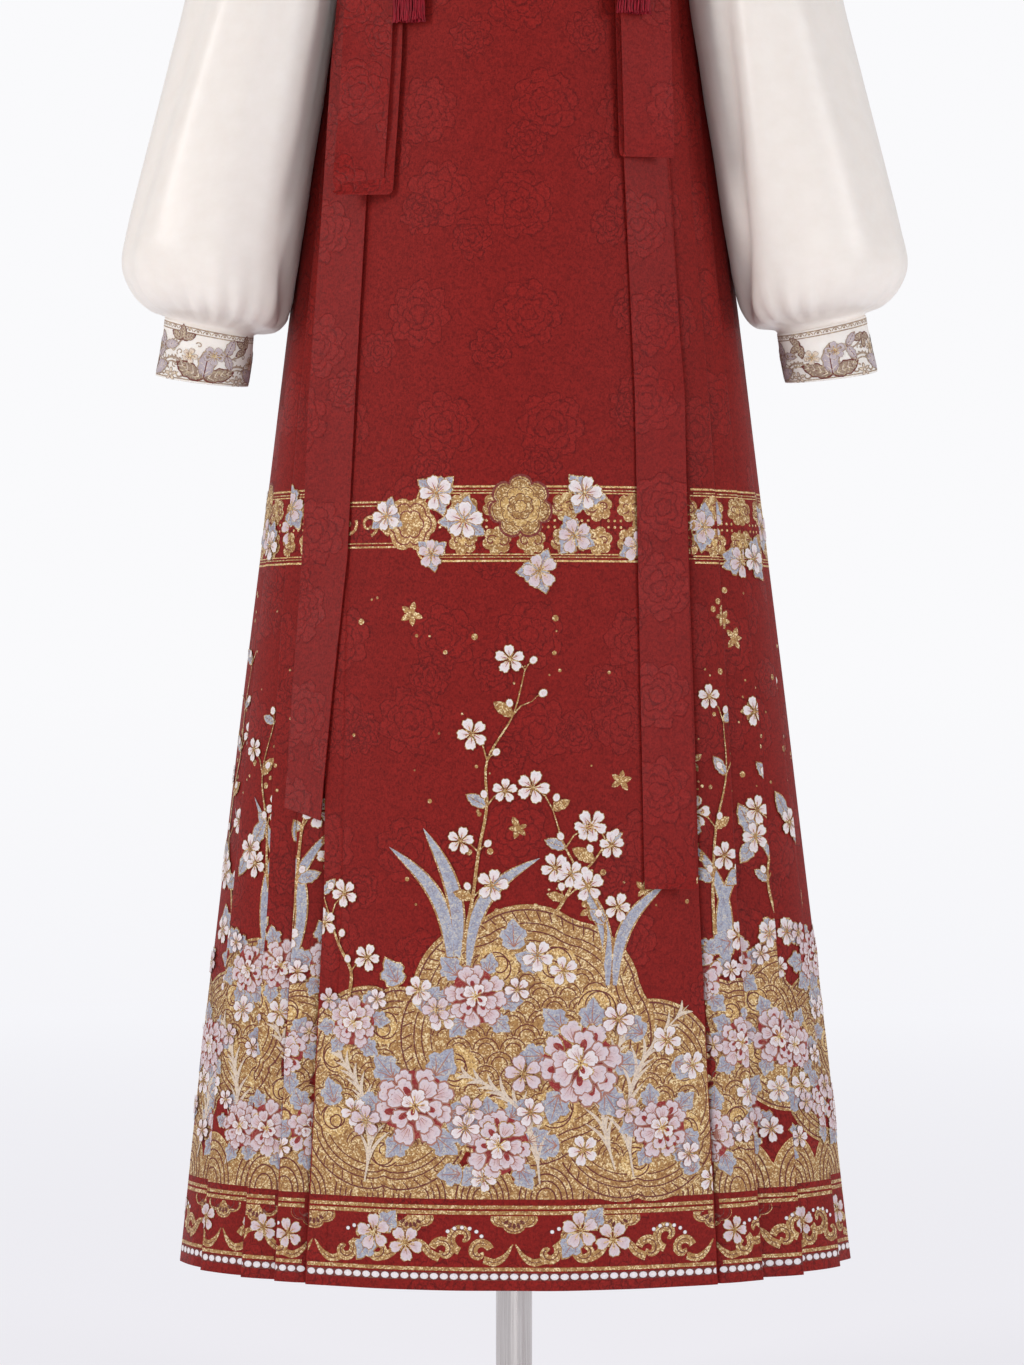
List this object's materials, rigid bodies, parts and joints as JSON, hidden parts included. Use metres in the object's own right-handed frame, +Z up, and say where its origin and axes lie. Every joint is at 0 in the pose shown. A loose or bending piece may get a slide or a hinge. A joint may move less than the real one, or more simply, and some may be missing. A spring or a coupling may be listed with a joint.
{
  "type": "hanfu skirt set on a limbless dress form with a pole stand",
  "caption": "Chest-high pleated red jacquard skirt with ties and tassels over a cream satin blouse, on a limbless dress form and pole stand.",
  "frame": {"origin": "on the floor at the middle of the stand's base, under the pole", "axes": "+Z up, the front of the garment faces -Y, +X to the right as seen from the front"},
  "size_m": [0.6456, 0.411, 1.586],
  "materials": {
    "red_jacquard": "jacquard",
    "red_ribbon": "jacquard",
    "crimson_cord": "satin",
    "cream_satin": "satin",
    "ivory_cuff": "embroidered",
    "form_jersey": "matte",
    "brushed_steel": "brushed"
  },
  "bodies": {
    "root": {"skirt_front_panel": "red_jacquard", "skirt_back_panel": "red_jacquard", "skirt_pleats_left": "red_jacquard", "skirt_pleats_right": "red_jacquard", "skirt_top_band": "red_jacquard", "strap_left": "red_ribbon", "strap_right": "red_ribbon", "tie_knot_left": "red_ribbon", "tie_knot_right": "red_ribbon", "tie_loop_left": "red_ribbon", "tie_loop_right": "red_ribbon", "tie_tail_left": "red_ribbon", "tie_tail_right": "red_ribbon", "tassel_left": "crimson_cord", "tassel_right": "crimson_cord", "blouse_front_left": "cream_satin", "blouse_front_right": "cream_satin", "blouse_back": "cream_satin", "collar_band": "cream_satin", "sleeve_left": "cream_satin", "sleeve_right": "cream_satin", "cuff_left": "ivory_cuff", "cuff_right": "ivory_cuff", "form_torso": "form_jersey", "form_neck_cap": "form_jersey", "stand_pole": "brushed_steel", "stand_collar": "brushed_steel", "stand_base": "brushed_steel"}
  },
  "joints": []
}
